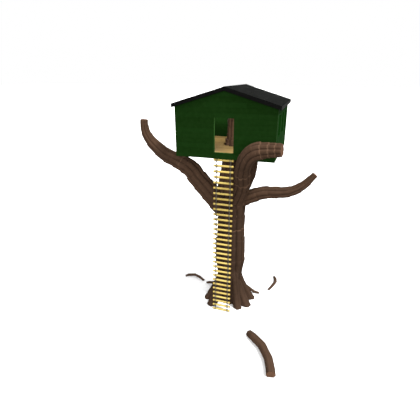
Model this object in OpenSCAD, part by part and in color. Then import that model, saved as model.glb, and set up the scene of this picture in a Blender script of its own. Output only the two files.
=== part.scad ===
// Tree house: a gabled board hut high in a bare tree, reached by a straight rope ladder.
// Millimetres, +Z up, origin on the ground at the middle of the trunk's foot. The door faces -Y.

/* [Hut] */
// Width of the hut over its walls, along X
hut_w = 4500; // [3600:50:5400]
// Depth of the hut over its walls, along Y
hut_d = 4340; // [3600:20:5200]
// Height of the floor boards' top above the ground
floor_z = 8610; // [8300:10:9000]
// Height of the side walls above the floor, at their outer faces
eaves_h = 1920; // [1700:10:2300]
// Rise of the roof from the side walls' outer faces to the ridge
roof_rise = 670; // [400:10:900]
// Thickness of the walls
wall_t = 150; // [100:5:200]
// How far the walls hang below the floor's top
skirt_h = 270; // [230:5:320]
// How far the hut's middle lies to the left of the trunk
hut_shift_x = 120; // [0:10:300]
// How far the front wall's outer face lies in front of the trunk's middle
hut_front = 1350; // [1250:10:1450]

/* [Doorway] */
// Clear width of the doorway
door_w = 880; // [700:10:1000]
// Clear height of the doorway
door_h = 1495; // [1300:5:1700]

/* [Windows] */
// Windows in each side wall
windows = 3; // [2:1:3]
// Clear width of a window
window_w = 800; // [600:10:900]
// Height of the windows' sills above the floor
window_sill = 690; // [500:10:800]
// Clear height of a window
window_h = 920; // [600:10:1000]
// Distance between the windows' middles
window_pitch = 1220; // [1050:10:1250]

/* [Roof] */
// Thickness of the roof over its slab and cover, measured upright
roof_t = 172; // [120:2:240]
// Thickness of the roof cover, measured upright
cover_t = 26; // [10:1:40]
// Overhang of the roof past the side walls
side_hang = 130; // [60:5:300]
// Overhang of the roof past the front wall
front_hang = 80; // [50:5:300]
// Overhang of the roof past the back wall
back_hang = 60; // [50:5:300]
// Thickness of the boards round the roof's edge
fascia_t = 28; // [15:1:40]

/* [Floor] */
// Thickness of the floor boards
deck_t = 35; // [20:1:45]
// Height of the joists
joist_h = 100; // [80:5:110]
// Thickness of the joists
joist_t = 60; // [40:5:80]
// Distance between the joists' middles
joist_pitch = 620; // [450:10:700]
// Thickness of the two bearers under the joists
bearer_t = 100; // [80:5:140]
// Room round the stem where it passes through the floor
stem_room = 25; // [10:1:60]

/* [Ladder] */
// Number of rungs
rungs = 32; // [10:1:40]
// Diameter of a rung
rung_d = 110; // [60:2:130]
// Length of a rung
rung_l = 946; // [700:2:960]
// Distance between the two ropes
rope_pitch = 650; // [500:10:680]
// Diameter of the ropes
rope_d = 28; // [16:1:40]
// Diameter of the knot below each rung
knot_d = 56; // [44:1:70]
// Drop from the wall's bottom edge to the middle of the top rung
first_drop = 70; // [70:5:200]
// Depth of the holes that hold the ropes in the sill beam
rope_hole = 110; // [60:5:180]

/* [Tree] */
// Radius of the trunk at half its height
trunk_r = 790; // [740:5:840]
// Height at which the trunk ends between its limbs
fork_z = 6350; // [6200:10:6600]
// Radius of the stem inside the hut
stem_r = 440; // [380:5:470]
// Radius of the stem's foot, where it passes through the floor
stem_foot_r = 520; // [480:5:560]
// Height of the stem's foot above the floor
stem_foot_h = 240; // [100:10:500]
// Height of the stem's top above the floor
stem_h = 1700; // [1400:10:1800]
// Reach of the longest buttress roots from the trunk's middle
root_reach = 1470; // [1380:10:1700]

/* [Hidden] */

bark = [0.30, 0.24, 0.19];
wall_green = [0.10, 0.21, 0.07];
board_tan = [0.53, 0.44, 0.27];
beam_brown = [0.36, 0.28, 0.18];
felt_grey = [0.17, 0.17, 0.17];
edge_black = [0.04, 0.04, 0.04];
rung_straw = [0.80, 0.67, 0.38];
rope_grey = [0.42, 0.41, 0.38];

// Where the hut stands
hut_x = -hut_shift_x;
front_y = -hut_front;
back_y = front_y + hut_d;
inner_w = hut_w - 2 * wall_t;
inner_d = hut_d - 2 * wall_t;
mid_y = front_y + hut_d / 2;
wall_z = floor_z - skirt_h;
eaves_z = floor_z + eaves_h;
slope = roof_rise / (hut_w / 2);
ridge_z = eaves_z + roof_rise;
door_top = floor_z + door_h;
sill_top = floor_z + window_sill;
head_z = sill_top + window_h;

// The stem stands upright where it passes through the floor
stem_x = hut_x;
stem_y = mid_y + 110;
flute = 0.06;
stem_hole_r = stem_foot_r * (1 + flute) + stem_room;
bearer_h = skirt_h - deck_t - joist_h;
bearer_y = stem_hole_r + bearer_t / 2 + 40;

// The ladder hangs from the middle of the front wall's thickness
ladder_y = front_y + wall_t / 2;
top_rung_z = wall_z - first_drop;
rung_step = (top_rung_z - rung_d / 2) / (rungs - 1);
rope_play = 0.3;
small = 1;

// Edges of the hut and the ladder that the limbs grow past
hut_left = hut_x - hut_w / 2;
ladder_right = hut_x + rung_l / 2;
front_bearer_y = stem_y - bearer_y;

// Each row is a point on a limb's middle line and the limb's radius there: x, y, z, radius
left_path = [
    [-350, -150, 5500, 540], [-1000, -350, 6330, 515], [-1740, -350, 7120, 490],
    [hut_left + 270, -300, wall_z - 815, 465], [hut_left - 600, -100, wall_z - 495, 408],
    [hut_left - 1120, 0, wall_z - 335, 382], [hut_left - 1660, 100, wall_z - 10, 341],
    [hut_left - 2030, 150, wall_z + 305, 302], [hut_left - 2270, 150, wall_z + 690, 256],
    [hut_left - 2345, 150, wall_z + 1045, 226], [hut_left - 2330, 150, wall_z + 1375, 205]];
front_path = [
    [120, -150, 5700, 430], [400, -360, 6330, 410],
    [ladder_right + 267, front_y + 620, 6900, 380],
    [ladder_right + 367, front_y + 320, wall_z - 945, 375],
    [ladder_right + 457, front_y - 210, wall_z - 405, 355],
    [ladder_right + 637, front_y - 580, wall_z + 135, 355],
    [ladder_right + 867, front_y - 680, wall_z + 455, 370],
    [ladder_right + 1177, front_y - 720, wall_z + 615, 375],
    [ladder_right + 1567, front_y - 770, wall_z + 685, 335],
    [ladder_right + 2127, front_y - 850, wall_z + 735, 285]];
rear_path = [
    [150, 100, 5700, 370], [400, 220, 6420, 350], [630, 330, 6900, 335],
    [805, front_bearer_y + 126, 7480, 325], [820, front_bearer_y + 136, 8000, 320],
    [820, front_bearer_y + 136, wall_z + 545, 320]];
right_path = [
    [100, 0, 5820, 400], [570, 0, 6060, 380], [1310, 0, 6410, 350], [1690, 0, 6520, 325],
    [2220, 0, 6575, 300], [2730, 0, 6655, 270], [3170, 0, 6870, 238], [3510, 0, 7180, 205],
    [3710, 0, 7430, 175], [3850, 0, 7610, 152]];
stem_low = [
    [0, 0, 5200, 600], [-20, 20, 5850, 630], [-130, 240, 6550, 670],
    [-150, 560, 7400, 600]];
thin_left_path = [
    [-900, 600, 420, 80], [-1220, 750, 200, 85], [-1450, 840, 110, 80], [-1680, 900, 20, 58]];
thin_right_path = [
    [600, 400, 850, 90], [950, 620, 430, 90], [1300, 720, 130, 85], [1640, 780, 40, 62]];
ground_front_path = [
    [1650, -2570, 40, 175], [1900, -2850, 170, 200], [2400, -3300, 190, 205],
    [2780, -3930, 180, 200], [2950, -4450, 165, 200], [3020, -4780, 150, 205]];
ground_left_path = [
    [-3180, 1130, -20, 70], [-2980, 1280, 70, 80], [-2560, 1340, 120, 85],
    [-2180, 1190, 100, 80], [-1850, 1020, -20, 70]];
ground_right_path = [
    [2200, 2790, -20, 75], [2325, 2480, 80, 85], [2385, 2100, 120, 85],
    [2255, 1670, 90, 80], [2035, 1240, -20, 70]];

// Buttress roots round the foot: bearing from +X, share of the full reach, radius, and the height
// at which the root's outer side leaves the trunk
buttresses = [
    [14, 1.00, 250, 1350], [44, 0.92, 235, 1500], [78, 0.92, 240, 1700], [112, 0.97, 245, 1400],
    [146, 0.95, 240, 1600], [172, 0.92, 235, 1350], [199, 0.98, 275, 1150],
    [229, 0.98, 265, 1400], [311, 0.85, 237, 1900], [339, 0.96, 275, 1250]];
foot_share = 0.93;

// A point on the smooth curve through the rows of p, a share t of the way from row i to the next
function curve_at(p, i, t) =
    let (a = p[max(i - 1, 0)], b = p[i], c = p[i + 1], d = p[min(i + 2, len(p) - 1)])
    0.5 * (2 * b + (c - a) * t + (2 * a - 5 * b + 4 * c - d) * t * t
           + (3 * b - a - 3 * c + d) * t * t * t);
function curve(p, steps) = [
    for (i = [0 : len(p) - 2]) for (k = [0 : steps - 1]) curve_at(p, i, k / steps),
    p[len(p) - 1]];
function place(row) = [row[0], row[1], row[2]];
function unit(v) = v / norm(v);
function heading(c, i) =
    unit(place(c[min(i + 1, len(c) - 1)]) - place(c[max(i - 1, 0)]));

// A ring of points across a limb, with shallow flutes that run along it
function ring(row, dir, across, sides, flutes) =
    let (u = unit(cross(across, dir)), v = cross(dir, u))
    [for (j = [0 : sides - 1])
        let (a = 360 * j / sides, r = row[3] * (1 + flute * cos(flutes * a)))
        place(row) + r * (cos(a) * u + sin(a) * v)];

// A closed skin over a stack of rings that have as many points each
module skin(rings) {
    sides = len(rings[0]);
    last = len(rings) - 1;
    polyhedron(
        points = [for (r = rings) each r],
        faces = [
            [for (j = [0 : sides - 1]) j],
            for (i = [0 : last - 1]) for (j = [0 : sides - 1])
                let (a = i * sides + j, b = i * sides + (j + 1) % sides)
                each [[a, a + sides, b], [b, a + sides, b + sides]],
            [for (j = [sides - 1 : -1 : 0]) last * sides + j]]);
}

// A limb: rings carried along the smooth curve through the rows of path
module limb(path, steps, across, sides, flutes) {
    c = curve(path, steps);
    skin([for (i = [0 : len(c) - 1]) ring(c[i], heading(c, i), across, sides, flutes)]);
}

module above_ground() {
    deep = 1500;
    reach = 12000;
    difference() {
        children();
        translate([-reach / 2, -reach / 2, -deep]) cube([reach, reach, deep]);
    }
}

// ---- Tree ----

module trunk_skin() {
    heights = [[-60, 0.86], [1000, 0.86], [1700, 0.87], [2150, 0.91], [2600, 0.99], [3100, 0.98],
               [3800, 0.94], [4600, 0.89], [5300, 0.89], [5800, 0.91], [6100, 0.92]];
    rows = concat([for (h = heights) [0, 0, h[0], trunk_r * h[1]]],
                  [[0, 0, fork_z, trunk_r * 0.80]]);
    skin([for (row = rows) ring(row, [0, 0, 1], [0, -1, 0], 40, 10)]);
}

// A straight root that leaves the trunk's side and runs down and out to the ground. Its outer
// side goes from the trunk's surface at height top to the toe, and its middle line lies a radius
// inside that, a little hollowed half way down.
module buttress(bearing, share, radius, top) {
    toe = root_reach * share;
    face = trunk_r * foot_share;
    side = norm([toe - face, top]);
    down = [(toe - face) / side, -top / side];
    inward = [down[1], -down[0]] * radius;
    hollow = 0.14 * inward;
    high = [face, top] + inward;
    low = [toe, 0] + inward;
    rows = [high - down * side * 0.3, high, (high + low) / 2 + hollow, low, low + down * radius];
    sizes = [0.8, 1, 1, 1, 1];
    rotate([0, 0, bearing])
        limb([for (i = [0 : len(rows) - 1]) [rows[i][0], 0, rows[i][1], radius * sizes[i]]],
             2, [0, 1, 0], 12, 3);
}

module trunk() color(bark) above_ground() {
    trunk_skin();
    for (b = buttresses) buttress(b[0], b[1], b[2], b[3]);
}

module stem_skin() {
    c = curve(concat(stem_low, [[stem_x, stem_y - 60, wall_z - 150, stem_foot_r * 1.02],
                                [stem_x, stem_y, wall_z - small, stem_foot_r]]), 2);
    foot_top = floor_z + stem_foot_h;
    top = floor_z + stem_h;
    rings = [for (i = [0 : len(c) - 2]) ring(c[i], heading(c, i), [0, -1, 0], 32, 8)];
    upright = [[stem_x, stem_y, wall_z - small, stem_foot_r], [stem_x, stem_y, foot_top, stem_foot_r],
               [stem_x, stem_y, foot_top + small, stem_r], [stem_x, stem_y, top, stem_r * 0.88]];
    skin(concat(rings, [for (row = upright) ring(row, [0, 0, 1], [0, -1, 0], 32, 8)]));
}

module stem() color(bark) difference() {
    stem_skin();
    trunk_skin();
}

module left_limb_skin() limb(left_path, 2, [0, 1, 0], 24, 6);
module front_limb_skin() limb(front_path, 2, [0, 1, 0], 24, 6);
module rear_limb_skin() difference() {
    limb(rear_path, 2, [0, 1, 0], 24, 6);
    // The flat seat on its top carries the front bearer
    translate([0, 0, wall_z + 500]) cube([4000, 4000, 1000], center = true);
}
module right_limb_skin() limb(right_path, 2, [0, 1, 0], 24, 6);

module left_limb() color(bark) difference() {
    left_limb_skin();
    trunk_skin();
    stem_skin();
}

module front_limb() color(bark) difference() {
    front_limb_skin();
    trunk_skin();
    stem_skin();
    left_limb_skin();
}

module rear_limb() color(bark) difference() {
    rear_limb_skin();
    trunk_skin();
    stem_skin();
    front_limb_skin();
}

module right_limb() color(bark) difference() {
    right_limb_skin();
    trunk_skin();
    stem_skin();
    front_limb_skin();
    rear_limb_skin();
}

// A thin root that lies over the foot; nearby are the buttresses that it leaves from
module thin_root(path, nearby) color(bark) difference() {
    above_ground() limb(path, 2, [-0.6, 0.8, 0], 10, 2);
    trunk_skin();
    for (i = nearby) let (b = buttresses[i]) buttress(b[0], b[1], b[2], b[3]);
}
module thin_root_left() thin_root(thin_left_path, [4]);
module thin_root_right() thin_root(thin_right_path, [0, 1]);
module ground_root_front() color(bark) above_ground() limb(ground_front_path, 2, [0, 0, 1], 16, 4);
module ground_root_left() color(bark) above_ground() limb(ground_left_path, 2, [0, 0, 1], 12, 3);
module ground_root_right() color(bark) above_ground() limb(ground_right_path, 2, [0, 0, 1], 12, 3);

// ---- Floor ----

module stem_hole() {
    translate([stem_x, stem_y, wall_z - 500]) cylinder(r = stem_hole_r, h = 1500, $fn = 64);
}

module floor_boards() color(board_tan) difference() {
    translate([hut_x - inner_w / 2, front_y + wall_t, floor_z - deck_t])
        cube([inner_w, inner_d, deck_t]);
    stem_hole();
}

module floor_joists() color(beam_brown) difference() {
    side = floor((inner_w / 2 - joist_t) / joist_pitch);
    for (i = [-side : side])
        translate([hut_x + i * joist_pitch - joist_t / 2, front_y + wall_t,
                   floor_z - deck_t - joist_h])
            cube([joist_t, inner_d, joist_h]);
    stem_hole();
}

module floor_bearers() color(beam_brown) {
    for (s = [-1, 1])
        translate([hut_x - inner_w / 2, stem_y + s * bearer_y - bearer_t / 2, wall_z])
            cube([inner_w, bearer_t, bearer_h]);
}

// ---- Walls ----

// A level slab from x0 to x1 and z0 to z1, lying wall_t deep behind y0
module slab(x0, x1, y0, z0, z1) {
    translate([x0, y0, z0]) cube([x1 - x0, wall_t, z1 - z0]);
}

// The gable's outline above height z0, pushed wall_t deep behind y0
module gable(y0, z0) {
    half = hut_w / 2;
    low = z0 - ridge_z;
    translate([hut_x, y0 + wall_t, ridge_z]) rotate([90, 0, 0]) linear_extrude(wall_t)
        polygon([[-half, low], [half, low], [half, -roof_rise], [0, 0], [-half, -roof_rise]]);
}

module front_wall_left() color(wall_green)
    slab(hut_x - hut_w / 2, hut_x - door_w / 2, front_y, wall_z, door_top);
module front_wall_right() color(wall_green)
    slab(hut_x + door_w / 2, hut_x + hut_w / 2, front_y, wall_z, door_top);
module front_wall_head() color(wall_green) gable(front_y, door_top);
module back_wall() color(wall_green) gable(back_y - wall_t, wall_z);

// The beam under the doorway, bored from below for the ladder's ropes
module door_sill() color(wall_green) difference() {
    slab(hut_x - door_w / 2, hut_x + door_w / 2, front_y, wall_z, floor_z);
    for (s = [-1, 1])
        translate([hut_x + s * rope_pitch / 2, ladder_y, wall_z - small])
            cylinder(d = rope_d + 2 * rope_play, h = rope_hole + small, $fn = 48);
}

// A side wall's piece between two heights, s = -1 on the left and 1 on the right
module side_slab(s, y0, y1, z0, z1) {
    x = hut_x + s * (hut_w - wall_t) / 2 - wall_t / 2;
    translate([x, y0, z0]) cube([wall_t, y1 - y0, z1 - z0]);
}

module side_sill(s) side_slab(s, front_y + wall_t, back_y - wall_t, wall_z, sill_top);

module side_posts(s) {
    first = mid_y - window_pitch * (windows - 1) / 2;
    cuts = [for (i = [0 : windows - 1]) first + i * window_pitch];
    starts = concat([front_y + wall_t], [for (c = cuts) c + window_w / 2]);
    ends = concat([for (c = cuts) c - window_w / 2], [back_y - wall_t]);
    for (i = [0 : windows]) side_slab(s, starts[i], ends[i], sill_top, head_z);
}

// The wall above the windows, its top cut to the roof's slope
module side_head(s) {
    outer = hut_w / 2;
    inner = outer - wall_t;
    low = head_z - ridge_z;
    translate([hut_x, back_y - wall_t, ridge_z]) rotate([90, 0, 0]) linear_extrude(inner_d)
        polygon([[s * outer, low], [s * outer, -outer * slope], [s * inner, -inner * slope],
                 [s * inner, low]]);
}

module left_wall_sill() color(wall_green) side_sill(-1);
module left_wall_posts() color(wall_green) side_posts(-1);
module left_wall_head() color(wall_green) side_head(-1);
module right_wall_sill() color(wall_green) side_sill(1);
module right_wall_posts() color(wall_green) side_posts(1);
module right_wall_head() color(wall_green) side_head(1);

// ---- Roof ----

// A sloping layer from the ridge to x = reach, between two upright offsets from the roof's
// underside, from y0 to y1; s = -1 on the left and 1 on the right
module roof_layer(s, reach, low, high, y0, y1) {
    drop = reach * slope;
    translate([hut_x, y1, ridge_z]) rotate([90, 0, 0]) linear_extrude(y1 - y0)
        polygon([[0, low], [0, high], [s * reach, high - drop], [s * reach, low - drop]]);
}

roof_reach = hut_w / 2 + side_hang;
slab_reach = roof_reach - fascia_t;
roof_front = front_y - front_hang;
roof_back = back_y + back_hang;
slab_top = roof_t - cover_t;

module roof_slab(s) color(edge_black)
    roof_layer(s, slab_reach, 0, slab_top, roof_front + fascia_t, roof_back - fascia_t);
module roof_cover(s) color(felt_grey)
    roof_layer(s, roof_reach, slab_top, roof_t, roof_front, roof_back);
module front_barge(s) color(edge_black)
    roof_layer(s, slab_reach, 0, slab_top, roof_front, roof_front + fascia_t);
module back_barge(s) color(edge_black)
    roof_layer(s, slab_reach, 0, slab_top, roof_back - fascia_t, roof_back);

module eaves_board(s) color(edge_black) {
    corners = [[slab_reach, 0], [slab_reach, slab_top], [roof_reach, slab_top], [roof_reach, 0]];
    translate([hut_x, roof_back, ridge_z]) rotate([90, 0, 0])
        linear_extrude(roof_back - roof_front)
            polygon([for (c = corners) [s * c[0], c[1] - c[0] * slope]]);
}

module roof_slab_left() roof_slab(-1);
module roof_slab_right() roof_slab(1);
module roof_cover_left() roof_cover(-1);
module roof_cover_right() roof_cover(1);
module front_barge_left() front_barge(-1);
module front_barge_right() front_barge(1);
module back_barge_left() back_barge(-1);
module back_barge_right() back_barge(1);
module eaves_board_left() eaves_board(-1);
module eaves_board_right() eaves_board(1);

// ---- Ladder ----

function rung_z(i) = rung_d / 2 + i * rung_step;

module ladder_rungs() color(rung_straw)
    for (i = [0 : rungs - 1]) translate([hut_x, ladder_y, rung_z(i)]) difference() {
        rotate([0, 90, 0]) cylinder(d = rung_d, h = rung_l, center = true, $fn = 48);
        for (s = [-1, 1])
            translate([s * rope_pitch / 2, 0, 0])
                cylinder(d = rope_d + 2 * rope_play, h = rung_d + 2 * small, center = true, $fn = 48);
    }

// A rope, turned about its own line, with a knot that carries each rung above the lowest
module ladder_rope(s) color(rope_grey) {
    r = rope_d / 2;
    k = knot_d / 2;
    end_z = wall_z + rope_hole - rope_play;
    knots = [for (i = [1 : rungs - 1]) let (z = rung_z(i) - rung_d / 2 - rope_play)
        each [[r, z - knot_d], [k, z - 0.7 * knot_d], [k, z - 0.25 * knot_d], [r * 1.3, z],
              [r, z]]];
    translate([hut_x + s * rope_pitch / 2, ladder_y, 0]) rotate_extrude($fn = 32)
        polygon(concat([[0, rope_play + small], [r, rope_play + small]], knots,
                       [[r, end_z], [0, end_z]]));
}
module ladder_rope_left() ladder_rope(-1);
module ladder_rope_right() ladder_rope(1);

trunk();
stem();
left_limb();
front_limb();
rear_limb();
right_limb();
thin_root_left();
thin_root_right();
ground_root_front();
ground_root_left();
ground_root_right();
floor_boards();
floor_joists();
floor_bearers();
door_sill();
front_wall_left();
front_wall_right();
front_wall_head();
back_wall();
left_wall_sill();
left_wall_posts();
left_wall_head();
right_wall_sill();
right_wall_posts();
right_wall_head();
roof_slab_left();
roof_slab_right();
roof_cover_left();
roof_cover_right();
front_barge_left();
front_barge_right();
back_barge_left();
back_barge_right();
eaves_board_left();
eaves_board_right();
ladder_rungs();
ladder_rope_left();
ladder_rope_right();
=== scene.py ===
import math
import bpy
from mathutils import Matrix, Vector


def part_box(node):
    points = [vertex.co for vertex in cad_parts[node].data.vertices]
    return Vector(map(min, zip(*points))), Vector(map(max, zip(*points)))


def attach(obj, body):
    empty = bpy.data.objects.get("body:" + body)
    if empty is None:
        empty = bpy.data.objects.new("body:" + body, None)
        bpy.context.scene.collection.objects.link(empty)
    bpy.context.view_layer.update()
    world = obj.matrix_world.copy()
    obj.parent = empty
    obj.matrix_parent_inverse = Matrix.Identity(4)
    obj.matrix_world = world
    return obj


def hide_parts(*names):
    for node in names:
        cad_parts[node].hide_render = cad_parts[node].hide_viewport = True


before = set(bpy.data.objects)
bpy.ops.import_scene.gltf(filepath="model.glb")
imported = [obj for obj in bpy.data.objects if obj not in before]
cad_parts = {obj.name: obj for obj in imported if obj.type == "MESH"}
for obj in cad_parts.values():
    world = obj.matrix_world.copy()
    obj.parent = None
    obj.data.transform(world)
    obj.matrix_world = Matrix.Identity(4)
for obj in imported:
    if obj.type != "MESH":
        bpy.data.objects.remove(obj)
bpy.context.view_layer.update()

# The looks of a tree house: a boarded hut in a bare fluted tree, with a straight rope ladder.
# Metres, +Z up, origin on the ground at the middle of the trunk's foot. The door faces -Y.
# Every new piece is a surface worked out with numpy: wood, rungs and ropes are rings carried
# along a line, walls and floor are boards with cut edges, and the roof's felt is a grid.

from types import SimpleNamespace

import bpy
import numpy as np


def node_box(*names):
    """Lowest and highest corner of several nodes together, as arrays."""
    corners = np.array([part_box(name) for name in names])
    return corners[:, 0].min(0), corners[:, 1].max(0)


# ---- Sizes read from the frame ----

HUT_LOW, HUT_HIGH = node_box("front_wall_left", "front_wall_right", "back_wall")
DOOR_LOW, DOOR_HIGH = node_box("door_sill")
HUT_X = (HUT_LOW[0] + HUT_HIGH[0]) / 2
HALF_W = (HUT_HIGH[0] - HUT_LOW[0]) / 2
FLOOR_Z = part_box("floor_boards")[1].z
WALL_Z = HUT_LOW[2]
WALL_T = DOOR_HIGH[1] - DOOR_LOW[1]
RIDGE_Z = HUT_HIGH[2]
DOOR_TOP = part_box("front_wall_left")[1].z
ROOF_RISE = 0.67
EAVES_Z = RIDGE_Z - ROOF_RISE
SLOPE = (RIDGE_Z - EAVES_Z) / HALF_W

rng = np.random.default_rng(7)


# ---- Numbers that vary smoothly ----

def lattice(cell, seed):
    """A number from 0 to 1 for each whole-numbered cell corner, by mixing its three numbers."""
    h = cell[..., 0] * 374761393 + cell[..., 1] * 668265263 + cell[..., 2] * 1442695041
    h = (h + seed * 974711) & 0xFFFFFFFF
    h = ((h ^ (h >> 13)) * 1274126177) & 0xFFFFFFFF
    return ((h ^ (h >> 16)) & 0xFFFF) / 65535.0


def noise(points, size, seed=0):
    """Smooth noise from -1 to 1: the numbers at the eight corners of a point's cell, blended by
    smoothstep shares. Size is the cell's size."""
    q = points / np.asarray(size, float)
    cell = np.floor(q).astype(np.int64)
    f = q - cell
    f = f * f * (3 - 2 * f)
    total = np.zeros(q.shape[:-1])
    for corner in np.ndindex(2, 2, 2):
        share = np.prod(np.where(corner, f, 1 - f), axis=-1)
        total += share * lattice(cell + np.array(corner), seed)
    return 2 * total - 1


def smooth_step(x, low, high):
    """0 below low, 1 above high, and 3t^2 - 2t^3 between them."""
    t = np.clip((x - low) / (high - low), 0, 1)
    return t * t * (3 - 2 * t)


def srgb(red, green, blue):
    """A screen colour, 0 to 255, as the linear colour that shaders take."""
    c = np.array([red, green, blue]) / 255
    linear = np.where(c > 0.04045, ((c + 0.055) / 1.055) ** 2.4, c / 12.92)
    return (*linear, 1.0)


# ---- Meshes from arrays ----

def add_object(name, data):
    """Puts data into the scene as an object, unturned and unscaled."""
    thing = bpy.data.objects.new(name, data)
    bpy.context.scene.collection.objects.link(thing)
    return thing


def new_piece(name, points, face_sets, material, nodes, smooth=True, values=None):
    """Puts points and faces into a mesh, rides it on the one body and hides the frame's nodes that
    it stands for.
    Face sets are arrays of corner numbers, and values are named numbers at the points."""
    mesh = bpy.data.meshes.new(name)
    corners = np.concatenate([faces.ravel() for faces in face_sets])
    sizes = np.concatenate([np.full(len(faces), faces.shape[1]) for faces in face_sets])
    mesh.vertices.add(len(points))
    mesh.vertices.foreach_set("co", np.ascontiguousarray(points, np.float32).ravel())
    mesh.loops.add(len(corners))
    mesh.loops.foreach_set("vertex_index", corners.astype(np.int32))
    mesh.polygons.add(len(sizes))
    starts = np.concatenate([[0], np.cumsum(sizes)[:-1]])
    mesh.polygons.foreach_set("loop_start", starts.astype(np.int32))
    mesh.update(calc_edges=True)
    mesh.polygons.foreach_set("use_smooth", np.full(len(sizes), smooth))
    for key, value in (values or {}).items():
        attribute = mesh.attributes.new(key, "FLOAT", "POINT")
        attribute.data.foreach_set("value", np.ascontiguousarray(value, np.float32).ravel())
    mesh.materials.append(material)
    piece = add_object(name, mesh)
    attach(piece, "root")
    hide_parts(*nodes)


def ring_faces(rows, cols):
    """Quads between rings of cols points, and fans that close the ends on the last two points."""
    i, j = np.meshgrid(np.arange(rows - 1), np.arange(cols), indexing="ij")
    a = i * cols + j
    b = i * cols + (j + 1) % cols
    quads = np.stack([a, b, b + cols, a + cols], -1).reshape(-1, 4)
    j = np.arange(cols)
    k = (j + 1) % cols
    first, last = rows * cols, rows * cols + 1
    start = np.stack([k, j, np.full(cols, first)], -1)
    end = np.stack([j, k, np.full(cols, last)], -1) + [(rows - 1) * cols, (rows - 1) * cols, 0]
    return quads, np.concatenate([start, end])


def repeat_faces(faces, count, stride):
    """The same faces for count copies whose points lie stride apart in the list."""
    shift = np.arange(count)[:, None, None] * stride
    return (faces[None] + shift).reshape(-1, faces.shape[1])


def join(parts):
    """Several (points, face sets, values) as one, each part's corner numbers moved along."""
    shift = 0
    points, quads, fans, values = [], [], [], {}
    for part_points, (part_quads, part_fans), part_values in parts:
        points.append(part_points)
        quads.append(part_quads + shift)
        fans.append(part_fans + shift)
        for key, value in part_values.items():
            values.setdefault(key, []).append(value.ravel())
        shift += len(part_points)
    joined = {key: np.concatenate(value) for key, value in values.items()}
    return np.concatenate(points), (np.concatenate(quads), np.concatenate(fans)), joined


# ---- Lines and rings ----

def curve(rows, steps):
    """A smooth line through the rows. Between rows b and c, with a before and d after, it is half
    of 2b + (c-a)t + (2a-5b+4c-d)t^2 + (3b-a-3c+d)t^3."""
    p = np.asarray(rows, float)
    a = np.concatenate([p[:1], p[:-2]])[:, None]
    b, c = p[:-1, None], p[1:, None]
    d = np.concatenate([p[2:], p[-1:]])[:, None]
    t = (np.arange(steps) / steps)[None, :, None]
    line = 0.5 * (2 * b + (c - a) * t + (2 * a - 5 * b + 4 * c - d) * t**2
                  + (3 * b - a - 3 * c + d) * t**3)
    return np.concatenate([line.reshape(-1, p.shape[1]), p[-1:]])


def circle(count):
    """Angles spaced evenly once round."""
    return np.linspace(0, 2 * math.pi, count, endpoint=False)


def unit(v):
    """Each vector divided by its own length."""
    return v / np.linalg.norm(v, axis=-1, keepdims=True)


def directions(line, across):
    """Heading along the line by central differences, side = across x heading, and up = heading
    x side."""
    heading = unit(np.gradient(line, axis=0))
    side = unit(np.cross(np.asarray(across, float), heading))
    return heading, side, np.cross(heading, side)


def bundle(angle, count, spread):
    """How far the outside of a bundle of round strands lies from its middle, 1 at a strand's
    crown. With d the angle from the nearest strand's middle, it is (1-spread) cos d plus the
    root of spread^2 - (1-spread)^2 sin^2 d."""
    step = 2 * math.pi / count
    d = (angle + step / 2) % step - step / 2
    inner = 1 - spread
    inside = np.maximum(spread**2 - (inner * np.sin(d)) ** 2, 0)
    return inner * np.cos(d) + np.sqrt(inside)


CAP = np.array([0.985, 0.93, 0.8, 0.62, 0.42, 0.2])


def rings(table, across, spacing, dome=0.0):
    """Middle, heading, side, up, radius and distance of each ring of a skin. Table holds the
    corners of a line and the radius at each. Everything is read linearly between the corners, at
    points no more than spacing apart, so each length is straight. Smaller rings close both ends:
    the one of share s lies dome (1 - s^2) radii further out."""
    line = table[:, :3]
    corners = np.concatenate([[0], np.cumsum(np.linalg.norm(np.diff(line, axis=0), axis=1))])
    along = np.unique(np.concatenate([corners, np.arange(0, corners[-1], spacing)]))
    columns = np.concatenate([table, *directions(line, across)], 1)
    read = np.stack([np.interp(along, corners, column) for column in columns.T], -1)
    rows = np.arange(len(along))
    order = np.concatenate([np.zeros(len(CAP), int), rows, np.full(len(CAP), rows[-1])])
    share = np.concatenate([CAP[::-1], np.ones(len(rows)), CAP])
    end = np.concatenate([-np.ones(len(CAP)), np.zeros(len(rows)), np.ones(len(CAP))])
    poles = read[[0, -1], :3] + read[[0, -1], 4:7] * ([[-dome], [dome]] * read[[0, -1], 3:4])
    read = read[order]
    bulge = end * dome * read[:, 3] * (1 - share**2)
    return SimpleNamespace(middle=read[:, :3] + read[:, 4:7] * bulge[:, None], radius=read[:, 3],
                           heading=read[:, 4:7], side=read[:, 7:10], up=read[:, 10:],
                           along=along[order], share=share, poles=poles)


def skin(ring, angle, reach):
    """Closes rings into one skin. A point is middle + reach (cos a side + sin a up)."""
    across = np.cos(angle)[..., None] * ring.side[:, None]
    upward = np.sin(angle)[..., None] * ring.up[:, None]
    points = ring.middle[:, None] + reach[..., None] * (across + upward)
    return np.concatenate([points.reshape(-1, 3), ring.poles]), ring_faces(*angle.shape)


# ---- Shader groups and materials ----

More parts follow.
